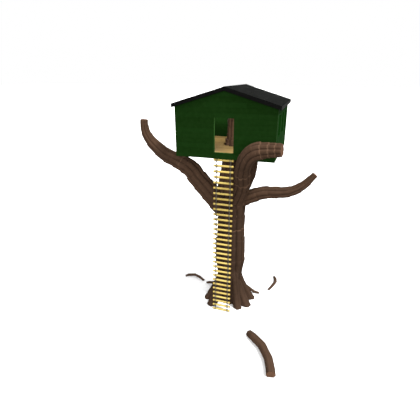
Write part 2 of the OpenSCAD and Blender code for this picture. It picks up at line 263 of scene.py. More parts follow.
class Tree:
    """Adds nodes to a shader tree and joins their sockets, with few words."""

    def __init__(self, tree):
        self.tree = tree

    def add(self, kind, settings=None, **inputs):
        """A node of a kind, with its settings and inputs; _ stands for a space."""
        node = self.tree.nodes.new(kind)
        for key, value in (settings or {}).items():
            setattr(node, key, value)
        for key, value in inputs.items():
            socket = node.inputs[key.replace("_", " ")]
            self.put(socket, value)
        return node

    def put(self, socket, value):
        """Links another node's output to a socket, or sets the socket's own value."""
        if isinstance(value, bpy.types.NodeSocket):
            self.tree.links.new(value, socket)
        else:
            socket.default_value = value

    def cloud(self, vector, scale, **more):
        """Shader noise from 0 to 1."""
        return self.add("ShaderNodeTexNoise", Vector=vector, Scale=scale, **more).outputs["Fac"]

    def math(self, operation, first, second=0.0, clamp=False):
        """One operation on two numbers."""
        node = self.tree.nodes.new("ShaderNodeMath")
        node.operation = operation
        node.use_clamp = clamp
        self.put(node.inputs[0], first)
        self.put(node.inputs[1], second)
        return node.outputs[0]

    def mix(self, share, first, second):
        """first (1 - share) + second share."""
        node = self.tree.nodes.new("ShaderNodeMix")
        node.data_type = "RGBA"
        self.put(node.inputs["Factor"], share)
        self.put(node.inputs["A"], first)
        self.put(node.inputs["B"], second)
        return node.outputs["Result"]

    def layer(self, colour, mask, share, over):
        """Lays a colour over another where the mask is, at a share of its full strength."""
        return self.mix(self.math("MULTIPLY", mask, share), colour, over)

    def spread(self, value, low, high):
        """Maps low..high of a value to 0..1, smoothly."""
        node = self.add("ShaderNodeMapRange", {"interpolation_type": "SMOOTHSTEP"},
                        Value=value, From_Min=low, From_Max=high)
        return node.outputs["Result"]


def new_group(name, outputs, build, **inputs):
    """A shader node group with a vector and named numbers as inputs; build fills it."""
    group = bpy.data.node_groups.new(name, "ShaderNodeTree")
    group.interface.new_socket("Vector", in_out="INPUT", socket_type="NodeSocketVector")
    for title, value in inputs.items():
        socket = group.interface.new_socket(title, in_out="INPUT", socket_type="NodeSocketFloat")
        socket.default_value = value
    for title in outputs:
        group.interface.new_socket(title, in_out="OUTPUT", socket_type="NodeSocketFloat")
    source = group.nodes.new("NodeGroupInput")
    target = group.nodes.new("NodeGroupOutput")
    for title, value in build(Tree(group), source.outputs).items():
        group.links.new(value, target.inputs[title])
    return group


def build_grain(t, given):
    """Long streaks: noise warped a little, then read as fine lines across the grain."""
    warp = t.add("ShaderNodeTexNoise", Vector=given["Vector"], Scale=1.3, Detail=2.0)
    shifted = t.add("ShaderNodeVectorMath", {"operation": "ADD"})
    t.put(shifted.inputs[0], given["Vector"])
    t.put(shifted.inputs[1], warp.outputs["Color"])
    coarse = t.cloud(shifted.outputs[0], given["Scale"], Detail=5.0, Roughness=0.6)
    fine = t.cloud(given["Vector"], t.math("MULTIPLY", given["Scale"], 5.0), Detail=3.0)
    return {"Streaks": t.spread(coarse, 0.35, 0.65),
            "Height": t.math("ADD", coarse, t.math("MULTIPLY", fine, 0.4))}


def build_patches(t, given):
    """Soft blotches: a share Cover of the surface, with edges that Softness widens."""
    low = t.math("SUBTRACT", 1.0, given["Cover"])
    high = t.math("ADD", low, given["Softness"])
    blotch = t.cloud(given["Vector"], given["Scale"], Detail=6.0, Roughness=0.62)
    return {"Mask": t.spread(blotch, low, high)}


def build_dust(t, given):
    """Dust that lies on what faces up, broken by noise."""
    geometry = t.add("ShaderNodeNewGeometry")
    split = t.add("ShaderNodeSeparateXYZ", Vector=geometry.outputs["Normal"])
    upward = t.spread(split.outputs["Z"], 0.1, 0.95)
    broken = t.spread(t.cloud(given["Vector"], given["Scale"], Detail=4.0), 0.3, 0.7)
    share = t.math("MULTIPLY", upward, broken)
    return {"Mask": t.math("MULTIPLY", share, given["Amount"], clamp=True)}


def build_rub(t, given):
    """Wear along edges: the edge value, kept only where noise is high."""
    worn = t.spread(t.cloud(given["Vector"], given["Scale"], Detail=5.0), 0.42, 0.62)
    share = t.math("MULTIPLY", given["Edge"], worn)
    return {"Mask": t.math("MULTIPLY", share, given["Amount"], clamp=True)}


GRAIN = new_group("wood_grain", ["Streaks", "Height"], build_grain, Scale=4.0)
PATCHES = new_group("patches", ["Mask"], build_patches, Scale=2.0, Cover=0.5, Softness=0.15)
DUST = new_group("dust_on_top", ["Mask"], build_dust, Scale=6.0, Amount=0.3)
RUB = new_group("edge_rub", ["Mask"], build_rub, Edge=0.0, Scale=9.0, Amount=0.5)


class Finish(Tree):
    """A material with one Principled shader, whose colour is built up in layers."""

    def __init__(self, name, roughness, specular):
        self.material = bpy.data.materials.new(name)
        self.material.use_nodes = True
        super().__init__(self.material.node_tree)
        self.tree.nodes.clear()
        self.shader = self.add("ShaderNodeBsdfPrincipled")
        self.shader.inputs["Roughness"].default_value = roughness
        self.shader.inputs["Specular IOR Level"].default_value = specular
        output = self.add("ShaderNodeOutputMaterial")
        self.tree.links.new(self.shader.outputs["BSDF"], output.inputs["Surface"])
        self.place = self.add("ShaderNodeTexCoord").outputs["Object"]

    def stretched(self, x, y, z):
        """Object coordinates scaled along each axis: a small number draws a pattern out."""
        mapping = self.add("ShaderNodeMapping", Vector=self.place, Scale=(x, y, z))
        return mapping.outputs["Vector"]

    def group(self, group, **inputs):
        """A node group's outputs, for these inputs."""
        node = self.tree.nodes.new("ShaderNodeGroup")
        node.node_tree = group
        for key, value in inputs.items():
            self.put(node.inputs[key], value)
        return node.outputs

    def value(self, name):
        """A number kept at the mesh's points."""
        return self.add("ShaderNodeAttribute", {"attribute_name": name}).outputs["Fac"]

    def finish(self, colour, height=None, strength=0.3, distance=0.004, roughness=None):
        """Joins colour, roughness and bump to the shader, and gives the material."""
        self.put(self.shader.inputs["Base Color"], colour)
        if roughness is not None:
            self.put(self.shader.inputs["Roughness"], roughness)
        if height is not None:
            bump = self.add("ShaderNodeBump", Height=height, Strength=strength, Distance=distance)
            self.put(self.shader.inputs["Normal"], bump.outputs["Normal"])
        return self.material


def bark_material(name, shade):
    """Dull brown bark with pale seams where the lengths meet, and painted shade in the grooves
    between strands, just past the sleeves' steps and in the furrows. Shade scales its browns for
    copies painted darker or lighter as light, and the lowest metre is painted paler as light."""
    m = Finish(name, 0.9, 0.03)
    tone = m.group(PATCHES, Vector=m.place, Scale=1.1, Cover=0.52, Softness=0.25)["Mask"]
    grain = m.group(GRAIN, Vector=m.stretched(1.0, 1.0, 0.22), Scale=6.0)
    dark, mid, ridge, streak = ([channel * shade for channel in colour] for colour in
                                ((49, 36, 27), (60, 44, 33), (68, 51, 39), (74, 56, 44)))
    brown = m.mix(tone, srgb(*mid), srgb(*dark))
    brown = m.layer(brown, m.value("strand"), 0.5, srgb(*ridge))
    brown = m.layer(brown, grain["Streaks"], 0.3, srgb(*streak))
    # Painted shade: darker in the grooves between strands, just past each sleeve's step and in the
    # furrows.
    brown = m.layer(brown, m.value("crease_shade"), 0.6, srgb(25, 17, 12))
    brown = m.layer(brown, m.value("seam"), 0.6, srgb(104, 80, 63))
    dust = m.group(DUST, Vector=m.place, Scale=4.0, Amount=0.12)["Mask"]
    brown = m.mix(dust, brown, srgb(92, 72, 60))
    # Painted light: over the lowest metre the browns are mixed toward a paler brown, which lifts
    # the trunk's painted shade near the ground.
    height = m.add("ShaderNodeSeparateXYZ", Vector=m.place).outputs["Z"]
    painted_low_light = m.math("SUBTRACT", 0.4, m.math("MULTIPLY", height, 0.4), clamp=True)
    brown = m.mix(painted_low_light, brown, srgb(74, 56, 45))
    cracks = m.cloud(m.place, 14.0, Detail=3.0)
    wood = m.mix(cracks, srgb(96, 70, 54), srgb(70, 50, 38))
    colour = m.mix(m.value("cap"), brown, wood)
    return m.finish(colour, grain["Height"], 0.4, 0.01)


def board_material(name, low, high, worn, stretch, roughness=0.8, lit_reveal=0.0):
    """Boards whose grain runs along them: each board has its own tone and its edges are rubbed.
    An opening's cut faces take the worn colour at a given share, as painted light."""
    m = Finish(name, roughness, 0.01)
    grain = m.group(GRAIN, Vector=m.stretched(*stretch), Scale=6.0)
    colour = m.mix(m.value("tone"), low, high)
    colour = m.layer(colour, grain["Streaks"], 0.25, low)
    stain = m.group(PATCHES, Vector=m.place, Scale=1.6, Cover=0.45, Softness=0.3)["Mask"]
    colour = m.layer(colour, stain, 0.05, worn)
    rub = m.group(RUB, Vector=m.place, Edge=m.value("edge"), Scale=7.0, Amount=0.06)["Mask"]
    colour = m.mix(rub, colour, worn)
    # Painted light on an opening's cut faces, in the worn colour.
    colour = m.layer(colour, m.value("lit_reveal"), lit_reveal, worn)
    rough = m.math("ADD", roughness - 0.08, m.math("MULTIPLY", grain["Streaks"], 0.14))
    return m.finish(colour, grain["Height"], 0.25, 0.004, rough)


def timber_material(name, low, high, stretch, roughness, pitch):
    """Sawn or stained timber for the frame's own pieces, with board joints where pitch says."""
    m = Finish(name, roughness, 0.03)
    grain = m.group(GRAIN, Vector=m.stretched(*stretch), Scale=7.0)
    colour = m.mix(grain["Streaks"], low, high)
    patches = m.group(PATCHES, Vector=m.place, Scale=3.0, Cover=0.5, Softness=0.3)["Mask"]
    colour = m.layer(colour, patches, 0.35, low)
    height = grain["Height"]
    if pitch:
        split = m.add("ShaderNodeSeparateXYZ", Vector=m.place)
        turns = m.math("DIVIDE", split.outputs["Y"], pitch)
        inside = m.math("PINGPONG", turns, 0.5)
        joint = m.math("SUBTRACT", 1.0, m.spread(inside, 0.0, 0.03))
        colour = m.layer(colour, joint, 0.8, srgb(8, 8, 8))
        height = m.math("SUBTRACT", height, m.math("MULTIPLY", joint, 2.0))
    dust = m.group(DUST, Vector=m.place, Scale=8.0, Amount=0.06)["Mask"]
    colour = m.mix(dust, colour, srgb(90, 84, 74))
    return m.finish(colour, height, 0.3, 0.004)


def felt_material():
    """Mineral felt: dark grey with fine grit, paler where rain has washed it."""
    m = Finish("roof_felt", 0.95, 0.02)
    grit = m.cloud(m.place, 160.0, Detail=2.0)
    washed = m.group(PATCHES, Vector=m.stretched(0.35, 1.0, 1.0), Scale=1.8, Cover=0.5,
                     Softness=0.35)["Mask"]
    colour = m.mix(m.spread(grit, 0.35, 0.68), srgb(10, 11, 10), srgb(16, 17, 16))
    colour = m.layer(colour, washed, 0.25, srgb(22, 23, 22))
    return m.finish(colour, grit, 0.35, 0.003)


def pole_material():
    """Peeled poles: straw yellow, streaked along, browner at knots and worn where feet stand, with
    painted shade on the last centimetres of each end and on the underside."""
    m = Finish("peeled_poles", 0.6, 0.15)
    grain = m.group(GRAIN, Vector=m.stretched(0.6, 6.0, 6.0), Scale=3.0)
    colour = m.mix(m.value("tone"), srgb(178, 154, 78), srgb(190, 168, 92))
    colour = m.layer(colour, grain["Streaks"], 0.3, srgb(146, 122, 60))
    knots = m.group(PATCHES, Vector=m.stretched(1.0, 2.0, 2.0), Scale=9.0, Cover=0.36,
                    Softness=0.05)["Mask"]
    colour = m.layer(colour, knots, 0.4, srgb(112, 86, 42))
    worn = m.value("worn")
    colour = m.layer(colour, worn, 0.3, srgb(176, 160, 106))
    # Painted shade on the rungs' undersides.
    colour = m.layer(colour, m.value("under"), 0.8, srgb(104, 80, 34))
    # Painted shade on the last centimetres of each rung.
    colour = m.layer(colour, m.value("end"), 0.7, srgb(84, 62, 30))
    rough = m.math("SUBTRACT", 0.55, m.math("MULTIPLY", worn, 0.15))
    return m.finish(colour, grain["Height"], 0.2, 0.003, rough)


def rope_material():
    """Grey laid rope with fuzz, pale on the strands' crowns, with painted shade between the
    strands.
    """
    m = Finish("rope", 0.95, 0.1)
    crown = m.value("crown")
    fuzz = m.cloud(m.place, 90.0, Detail=4.0)
    # Painted shade: dark between the strands, pale on their crowns.
    colour = m.mix(crown, srgb(44, 43, 40), srgb(100, 98, 92))
    colour = m.layer(colour, fuzz, 0.3, srgb(92, 89, 83))
    return m.finish(colour, fuzz, 0.4, 0.002)


# ---- Tree ----

TRUNK_R = 0.79
FORK_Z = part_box("trunk")[1].z
CROWN = 1.055
TRUNK_ROWS = [(0.0, 0.86), (1.0, 0.86), (1.7, 0.87), (2.15, 0.91), (2.6, 0.99), (3.1, 0.98),
              (3.8, 0.94), (4.6, 0.89), (5.3, 0.89), (5.8, 0.91), (6.1, 0.92), (FORK_Z, 0.80)]
HUT_LEFT = HUT_LOW[0]
FRONT_Y = HUT_LOW[1]
LADDER_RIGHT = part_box("ladder_rungs")[1].x
BEARER_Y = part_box("floor_bearers")[0].y + 0.05
# Each row is a point on a limb's middle line and the limb's radius there: x, y, z, radius
LEFT_ROWS = [(-0.35, -0.15, 5.50, 0.54), (-1.00, -0.35, 6.33, 0.515), (-1.74, -0.35, 7.12, 0.49),
             (HUT_LEFT + 0.27, -0.3, WALL_Z - 0.815, 0.465),
             (HUT_LEFT - 0.60, -0.1, WALL_Z - 0.495, 0.408),
             (HUT_LEFT - 1.12, 0, WALL_Z - 0.335, 0.382),
             (HUT_LEFT - 1.66, 0.1, WALL_Z - 0.01, 0.341),
             (HUT_LEFT - 2.03, 0.15, WALL_Z + 0.305, 0.302),
             (HUT_LEFT - 2.27, 0.15, WALL_Z + 0.69, 0.256),
             (HUT_LEFT - 2.345, 0.15, WALL_Z + 1.045, 0.226),
             (HUT_LEFT - 2.33, 0.15, WALL_Z + 1.375, 0.205)]
FRONT_ROWS = [(0.12, -0.15, 5.70, 0.43), (0.40, -0.36, 6.33, 0.41),
              (LADDER_RIGHT + 0.267, FRONT_Y + 0.62, 6.90, 0.38),
              (LADDER_RIGHT + 0.367, FRONT_Y + 0.32, WALL_Z - 0.945, 0.375),
              (LADDER_RIGHT + 0.457, FRONT_Y - 0.21, WALL_Z - 0.405, 0.355),
              (LADDER_RIGHT + 0.637, FRONT_Y - 0.58, WALL_Z + 0.135, 0.355),
              (LADDER_RIGHT + 0.867, FRONT_Y - 0.68, WALL_Z + 0.455, 0.37),
              (LADDER_RIGHT + 1.177, FRONT_Y - 0.72, WALL_Z + 0.615, 0.375),
              (LADDER_RIGHT + 1.567, FRONT_Y - 0.77, WALL_Z + 0.685, 0.335),
              (LADDER_RIGHT + 2.127, FRONT_Y - 0.85, WALL_Z + 0.735, 0.285)]
REAR_ROWS = [(0.15, 0.10, 5.70, 0.37), (0.40, 0.22, 6.42, 0.35), (0.63, 0.33, 6.90, 0.335),
             (0.805, BEARER_Y + 0.126, 7.48, 0.325), (0.82, BEARER_Y + 0.136, 8.00, 0.32),
             (0.82, BEARER_Y + 0.136, WALL_Z, 0.32)]
RIGHT_ROWS = [(0.10, 0, 5.82, 0.40), (0.57, 0, 6.06, 0.38), (1.31, 0, 6.41, 0.35),
              (1.69, 0, 6.52, 0.325), (2.22, 0, 6.575, 0.30), (2.73, 0, 6.655, 0.27),
              (3.17, 0, 6.87, 0.238), (3.51, 0, 7.18, 0.205), (3.71, 0, 7.43, 0.175),
              (3.85, 0, 7.61, 0.152)]
STEM_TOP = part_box("stem")[1].z
STEM_Y = (HUT_LOW[1] + HUT_HIGH[1]) / 2 + 0.11
STEM_R = 0.44
STEM_FOOT_R = 0.52
STEM_ROOM = 0.025
FOOT_TOP = FLOOR_Z + 0.24
STEM_ROWS = [(0, 0, 5.2, 0.60), (-0.02, 0.02, 5.85, 0.63), (-0.13, 0.24, 6.55, 0.67),
             (-0.15, 0.56, 7.40, 0.60), (HUT_X, STEM_Y - 0.06, WALL_Z - 0.15, STEM_FOOT_R * 1.02),
             (HUT_X, STEM_Y, WALL_Z, STEM_FOOT_R)]
STEM_UPRIGHT = [(HUT_X, STEM_Y, FOOT_TOP, STEM_FOOT_R), (HUT_X, STEM_Y, FOOT_TOP + 0.004, STEM_R),
                (HUT_X, STEM_Y, STEM_TOP, STEM_R * 0.88)]
# Buttress roots: bearing from +X in degrees, share of the full reach, radius, and the height at
# which the root's outer side leaves the trunk
ROOT_REACH = 1.47
FOOT_SHARE = 0.93
ROOT_HOLLOW = 0.14
ROOT_INSIDE = 0.3
BUTTRESSES = [(14, 1.00, 0.250, 1.35), (44, 0.92, 0.235, 1.50), (78, 0.92, 0.240, 1.70),
              (112, 0.97, 0.245, 1.40), (146, 0.95, 0.240, 1.60), (172, 0.92, 0.235, 1.35),
              (199, 0.98, 0.275, 1.15), (229, 0.98, 0.265, 1.40), (311, 0.85, 0.237, 1.90),
              (339, 0.96, 0.275, 1.25)]


THIN_ROOTS = {
    "thin_root_left": [(-0.90, 0.60, 0.42, 0.080), (-1.22, 0.75, 0.20, 0.085),
                       (-1.45, 0.84, 0.11, 0.080), (-1.65, 0.89, 0.03, 0.055)],
    "thin_root_right": [(0.60, 0.40, 0.85, 0.088), (0.95, 0.62, 0.43, 0.088),
                        (1.30, 0.72, 0.13, 0.083), (1.61, 0.775, 0.05, 0.058)]}
GROUND_ROOTS = {
    "ground_root_front": [(1.68, -2.60, 0.06, 0.175), (1.90, -2.85, 0.17, 0.195),
                          (2.40, -3.30, 0.19, 0.20), (2.78, -3.93, 0.18, 0.195),
                          (2.95, -4.45, 0.165, 0.195), (3.015, -4.765, 0.15, 0.20)],
    "ground_root_left": [(-3.14, 1.16, 0.02, 0.070), (-2.98, 1.28, 0.07, 0.08),
                         (-2.56, 1.34, 0.12, 0.085), (-2.18, 1.19, 0.10, 0.08),
                         (-1.88, 1.04, 0.02, 0.070)],
    "ground_root_right": [(2.22, 2.75, 0.02, 0.073), (2.325, 2.48, 0.08, 0.085),
                          (2.385, 2.10, 0.12, 0.085), (2.255, 1.67, 0.09, 0.08),
                          (2.065, 1.28, 0.02, 0.070)]}


# The wood's relief in metres: size and depth of broad hollows, furrows and fine cracks
BROAD, FURROW, CRACK = (0.34, 0.006), (0.085, 0.007), (0.035, 0.0025)
GRAIN_DRAWN = 0.2
FURROW_EDGE = 6
RING_SPACING = 0.026
# A seam's width, how ragged it is and how big its rags are, the drop just beyond it, and the
# length over which that drop fades
SEAM_W, SEAM_RAGGED, SEAM_RAG_SIZE, SEAM_DROP, SEAM_FADE = 0.016, 0.02, 0.12, 0.018, 0.15
# A limb of this radius has the relief as given, and others in proportion, between two shares
RELIEF_R, RELIEF_SHARES = 0.35, (0.35, 1.4)
STEEP = 0.5


def wood_skin(table, across, strands, cols, seams=(), seed=0, spread=0.30, dome=0.0, phase=0.0,
              rough=1.0, sleeve=0.62, depth=0.07):
    """A limb like a bundle of round strands, each a row of sleeves that widen along the limb. With
    f the share of a sleeve that is behind a point, the strand's reach is the bundle's outline
    times 1 - depth (1 - f). Three layers of noise stretched along the limb are taken off: broad
    hollows, furrows and fine cracks. At each seam the limb is a little thinner just beyond. What
    lies below the ground is moved back up along a steep root, or straight up on a flat one."""
    ring = rings(table, across, RING_SPACING, dome)
    angle, along = np.meshgrid(circle(cols), ring.along)
    turned = angle + phase
    outline = bundle(turned, strands, spread)
    strand = np.floor(turned / (2 * math.pi / strands) + 0.5).astype(np.int64) % strands

    def draw(second, third):
        """A number from 0 to 1 for each strand."""
        return lattice(np.stack([strand, strand * 0 + second, strand * 0 + third], -1), seed)

    sleeves = along / (sleeve * (0.8 + 0.5 * draw(1, 0))) + draw(0, 0)
    behind = sleeves % 1
    tone = draw(np.floor(sleeves).astype(np.int64), 2)
    mean = ring.radius.mean()
    place = np.stack([mean * np.cos(angle), mean * np.sin(angle), along * GRAIN_DRAWN], -1)
    furrows = (1 - np.abs(noise(place, FURROW[0], seed + 1)))**FURROW_EDGE
    relief = (BROAD[1] * (noise(place, BROAD[0], seed) - 1) - FURROW[1] * furrows
              + CRACK[1] * (noise(place, CRACK[0], seed + 2) - 1))
    seam = np.zeros_like(along)
    ragged = SEAM_RAGGED * noise(place * [1, 1, 0], SEAM_RAG_SIZE, seed + 3)
    for station in seams:
        gap = along - station - ragged
        seam = np.maximum(seam, np.exp(-(gap / SEAM_W) ** 2))
        relief = relief - SEAM_DROP * np.exp(-np.maximum(gap, 0) / SEAM_FADE) * (gap > 0)
    relief = rough * np.clip(mean / RELIEF_R, *RELIEF_SHARES) * relief
    reach = ring.radius[:, None] * (CROWN * outline * (1 - depth * (1 - behind)))
    points, faces = skin(ring, angle, (reach + relief) * ring.share[:, None])
    heading = np.concatenate([np.repeat(ring.heading, cols, 0), ring.heading[[0, -1]]])
    falls = np.minimum(heading[:, 2], -STEEP)
    slide = np.where(heading[:, 2] < -STEEP, np.minimum(points[:, 2], 0) / falls, 0)
    points -= heading * slide[:, None]
    points[:, 2] = np.maximum(points[:, 2], 0.0)
    # Painted shade mask: the grooves between strands, a band just past each sleeve's step, where
    # the sleeve above casts its shadow, and the furrows.
    groove = 1 - smooth_step(outline - outline.min(), 0, 0.35 * (1 - outline.min()))
    rim = np.exp(-behind / 0.06)
    cap = np.repeat((ring.share < 1)[:, None] * 1.0, cols, 1)
    values = {"crease_shade": np.clip(groove + 0.35 * rim + 0.25 * furrows, 0, 1), "strand": tone,
              "seam": seam * (1 - cap), "cap": cap}
    return points, faces, {key: np.append(value, value[[0, -1], 0])
                           for key, value in values.items()}


def buttress_rows(bearing, share, radius, top):
    """A root that leaves the trunk's side. Its outer side goes from the trunk's surface at height
    top to the toe, and its middle line lies a radius inside that, a little hollowed half way."""
    toe, face = ROOT_REACH * share, TRUNK_R * FOOT_SHARE
    down = np.array([toe - face, -top])
    length = np.hypot(*down)
    down = down / length
    inward = np.array([down[1], -down[0]]) * radius
    high, low = np.array([face, top]) + inward, np.array([toe, 0]) + inward
    profile = np.array([high - down * length * ROOT_INSIDE, high,
                        (high + low) / 2 + ROOT_HOLLOW * inward, low, low + down * radius])
    ahead = np.array([math.cos(math.radians(bearing)), math.sin(math.radians(bearing))])
    sizes = radius * np.array([0.8, 1, 1, 1, 1])
    return np.column_stack([profile[:, :1] * ahead, profile[:, 1], sizes])


def trunk_parts():
    """The trunk and its buttress roots, each a bundle carried down an upright plane."""
    rows = np.array([(0, 0, z, TRUNK_R * share) for z, share in TRUNK_ROWS])
    yield wood_skin(rows, (0, -1, 0), 11, 198, seams=(4.5,), seed=3, spread=0.24, phase=0.9,
                    sleeve=0.95, depth=0.04)
    for k, (bearing, share, radius, top) in enumerate(BUTTRESSES):
        rows = buttress_rows(bearing, share, radius, top)
        turn = math.radians(bearing)
        yield wood_skin(curve(rows, 2), (-math.sin(turn), math.cos(turn), 0), 5, 60, seed=20 + k,
                        spread=0.6, rough=0.6, sleeve=0.75, depth=0.05)


def build_tree(bark, shaded_bark, lit_bark):
    """Trunk, stem, limbs and roots, each a wood skin along its own rows."""
    def piece(name, wood, material=bark):
        points, faces, values = wood
        new_piece(name + "_bark", points, faces, material, [name], values=values)

    upright = (0, 1, 0)
    # The trunk takes the bark painted darker as shade, and the stem the bark painted lighter as
    # light.
    piece("trunk", join(list(trunk_parts())), shaded_bark)
    stem = np.concatenate([curve(STEM_ROWS, 2), STEM_UPRIGHT])
    piece("stem", wood_skin(stem, (0, -1, 0), 8, 120, seed=41, spread=0.42), lit_bark)
    for name, rows, strands, cols, details in (
            ("left_limb", LEFT_ROWS, 8, 128,
             {"seams": (3.15,), "seed": 5, "spread": 0.32, "depth": 0.08}),
            ("front_limb", FRONT_ROWS, 8, 120,
             {"seams": (1.85, 2.6, 4.37, 4.68, 4.95), "seed": 6, "spread": 0.33}),
            ("rear_limb", REAR_ROWS, 6, 96, {"seed": 8}),
            ("right_limb", RIGHT_ROWS, 7, 108, {"seed": 9, "spread": 0.34, "depth": 0.09})):
        piece(name, wood_skin(curve(rows, 2), upright, strands, cols, **details))
    for k, (name, rows) in enumerate(THIN_ROOTS.items()):
        piece(name, wood_skin(np.array(rows), (-0.6, 0.8, 0), 4, 30, seed=60 + k, spread=0.62,
                              dome=0.3, rough=0.5, depth=0.04))
    for k, (name, rows) in enumerate(GROUND_ROOTS.items()):
        strands, cols = (6, 64) if name == "ground_root_front" else (4, 32)
        piece(name, wood_skin(np.array(rows), (0, 0, 1), strands, cols, seed=70 + k, spread=0.62,
                              dome=0.05, rough=0.5, depth=0.02))


# ---- Boards ----

BOARD_T = 0.022
BOARD_GAP = 0.001
BOARD_CHAMFER = 0.0035
COURSE = (EAVES_Z - WALL_Z) / 10
# A board's greatest length outside and inside, its least length and height, and how far the butt
# joints move along from one course to the next, as a share of a board
LONGEST_OUT, LONGEST_IN = 1.9, 2.3
SHORTEST, THINNEST = 0.35, 0.02
JOINT_STEP = 0.37
PLANK_W = 0.145
PLANK_JOINTS = (0.31, 0.74)
WINDOW_PITCH = 1.22
WINDOW_HALF = 0.40
SIGNS = np.array([[x, y, z] for x in (-1, 1) for y in (-1, 1) for z in (-1, 1)])


def faces_out(corners, middle):
    """Whether a face's corners run anticlockwise as seen from outside."""
    normal = np.cross(corners[1] - corners[0], corners[2] - corners[0])
    return normal @ (corners.mean(0) - middle) > 0


def chamfered_faces():
    """The faces of a box whose corners each have three points, one for each axis: six sides,
    twelve edge strips and eight corner triangles, all turned to face outwards."""
    flat = (SIGNS[:, None, :] * (1 - 0.2 * (1 - np.eye(3)))[None]).reshape(-1, 3)
    quads = []
    for axis in range(3):
        for sign in (-1, 1):
            four = np.where(SIGNS[:, axis] == sign)[0][[0, 1, 3, 2]]
            quads.append(four * 3 + axis)
    for axis in range(3):
        first, second = [k for k in range(3) if k != axis]
        for low in np.where(SIGNS[:, axis] == -1)[0]:
            high = low + (4, 2, 1)[axis]
            quads.append(np.array([low * 3 + first, low * 3 + second, high * 3 + second,
                                   high * 3 + first]))
    fans = [np.arange(3) + corner * 3 for corner in range(8)]
    return [np.array([ids if faces_out(flat[ids], 0) else ids[::-1] for ids in kind])
            for kind in (quads, fans)]


BOX_QUADS, BOX_FANS = chamfered_faces()


def boxes(low, high, chamfer):
    """Boxes with cut edges, all at once: a point is middle + sign (half - chamfer), with the full
    half along its own axis. The edge value is 1 at every point, and tone is drawn for each box."""
    low, high = np.asarray(low, float), np.asarray(high, float)
    middle, half = (low + high) / 2, (high - low) / 2
    inset = half[:, None, None, :] - chamfer * (1 - np.eye(3))[None, None]
    points = middle[:, None, None, :] + SIGNS[None, :, None, :] * inset
    count = len(low)
    faces = (repeat_faces(BOX_QUADS, count, 24), repeat_faces(BOX_FANS, count, 24))
    tone = np.repeat(rng.random(count), 24)
    return points.reshape(-1, 3), faces, {"tone": tone, "edge": np.ones(count * 24),
                                          "lit_reveal": np.zeros(count * 24)}


def no_limit(z):
    """The half width of a wall without a slope."""
    return math.inf


def rectangles(span, low, high, openings, limit, longest):
    """Splits a wall into board rectangles (start, end, low, high). Each course leaves out the
    openings, (start, end, low, high), and butt joints fall a third of a board along from course
    to course. Limit(z) gives how far from the middle a board may reach."""
    found = []
    middle = (span[0] + span[1]) / 2
    for k in range(int(math.ceil((high - low) / COURSE - 1e-6))):
        z0 = low + k * COURSE
        z1 = min(z0 + COURSE, high)
        reach = (max(span[0], middle - limit(z0)), min(span[1], middle + limit(z0)))
        cuts = {*reach}
        for start, end, under, over in openings:
            if under < z1 and over > z0:
                cuts |= {start, end}
        joints = np.arange(span[0] + longest * ((k * JOINT_STEP) % 1), span[1], longest)
        joints = joints[np.abs(joints - middle) < limit(z1) - SHORTEST]
        edges = sorted(c for c in cuts if reach[0] <= c <= reach[1])
        for joint in joints:
            if all(abs(joint - edge) > SHORTEST for edge in edges):
                edges = sorted([*edges, joint])
        for start, end in zip(edges[:-1], edges[1:]):
            here = (start + end) / 2
            bands = [(z0, z1)]
            for left, right, under, over in openings:
                if left < here < right:
                    bands = [part for z_low, z_high in bands
                             for part in ((z_low, min(z_high, under)), (max(z_low, over), z_high))]
            found += [(start + BOARD_GAP, end - BOARD_GAP, z_low + BOARD_GAP, z_high - BOARD_GAP)
                      for z_low, z_high in bands if z_high - z_low > THINNEST]
    return np.array(found)


def gable_limit(z):
    """Half the gable's width at height z."""
    return min(HALF_W, (RIDGE_Z - z) / SLOPE)


def face_boards(rects, axis, outer, turn):
    """Boards on a wall's face. Rectangles run along axis 0 (X) or 1 (Y), the boards' outer face
    lies at outer, and they are BOARD_T thick in the direction of turn, -1 or 1."""
    start, end, low, high = rects.T
    near, far = (np.full(len(rects), place) for place in sorted((outer, outer + turn * BOARD_T)))
    corners = []
    for along, across, z in ((start, near, low), (end, far, high)):
        corners.append(np.stack([*((along, across) if axis == 0 else (across, along)), z], -1))
    return boxes(*corners, BOARD_CHAMFER)


def trim_to_gable(part):
    """Moves what passes the roof's slope back to it: |x - middle| <= (ridge - z) / slope."""
    points, faces, values = part
    limit = np.maximum((RIDGE_Z - points[:, 2]) / SLOPE, 0)
    offset = np.clip(points[:, 0] - HUT_X, -limit, limit)
    points[:, 0] = HUT_X + offset
    return points, faces, values


def prism(outline, along, low, high):
    """An outline in the (u, z) plane carried from low to high along axis 0 or 1, closed by fans
    from each end's middle, with every face turned outwards."""
    flat = np.asarray(outline, float)
    count = len(flat)
    ends = []
    for place in (low, high):
        full = np.empty((count, 3))
        full[:, along] = place
        full[:, 1 - along] = flat[:, 0]
        full[:, 2] = flat[:, 1]
        ends.append(full)
    points = np.concatenate([*ends, ends[0].mean(0)[None], ends[1].mean(0)[None]])
    quads, fans = ring_faces(2, count)
    if not faces_out(points[quads[0]], points.mean(0)):
        quads, fans = quads[:, ::-1], fans[:, ::-1]
    values = {"tone": np.full(len(points), 0.4), "edge": np.zeros(len(points)),
              "lit_reveal": np.ones(len(points))}
    return points, (quads, fans), values


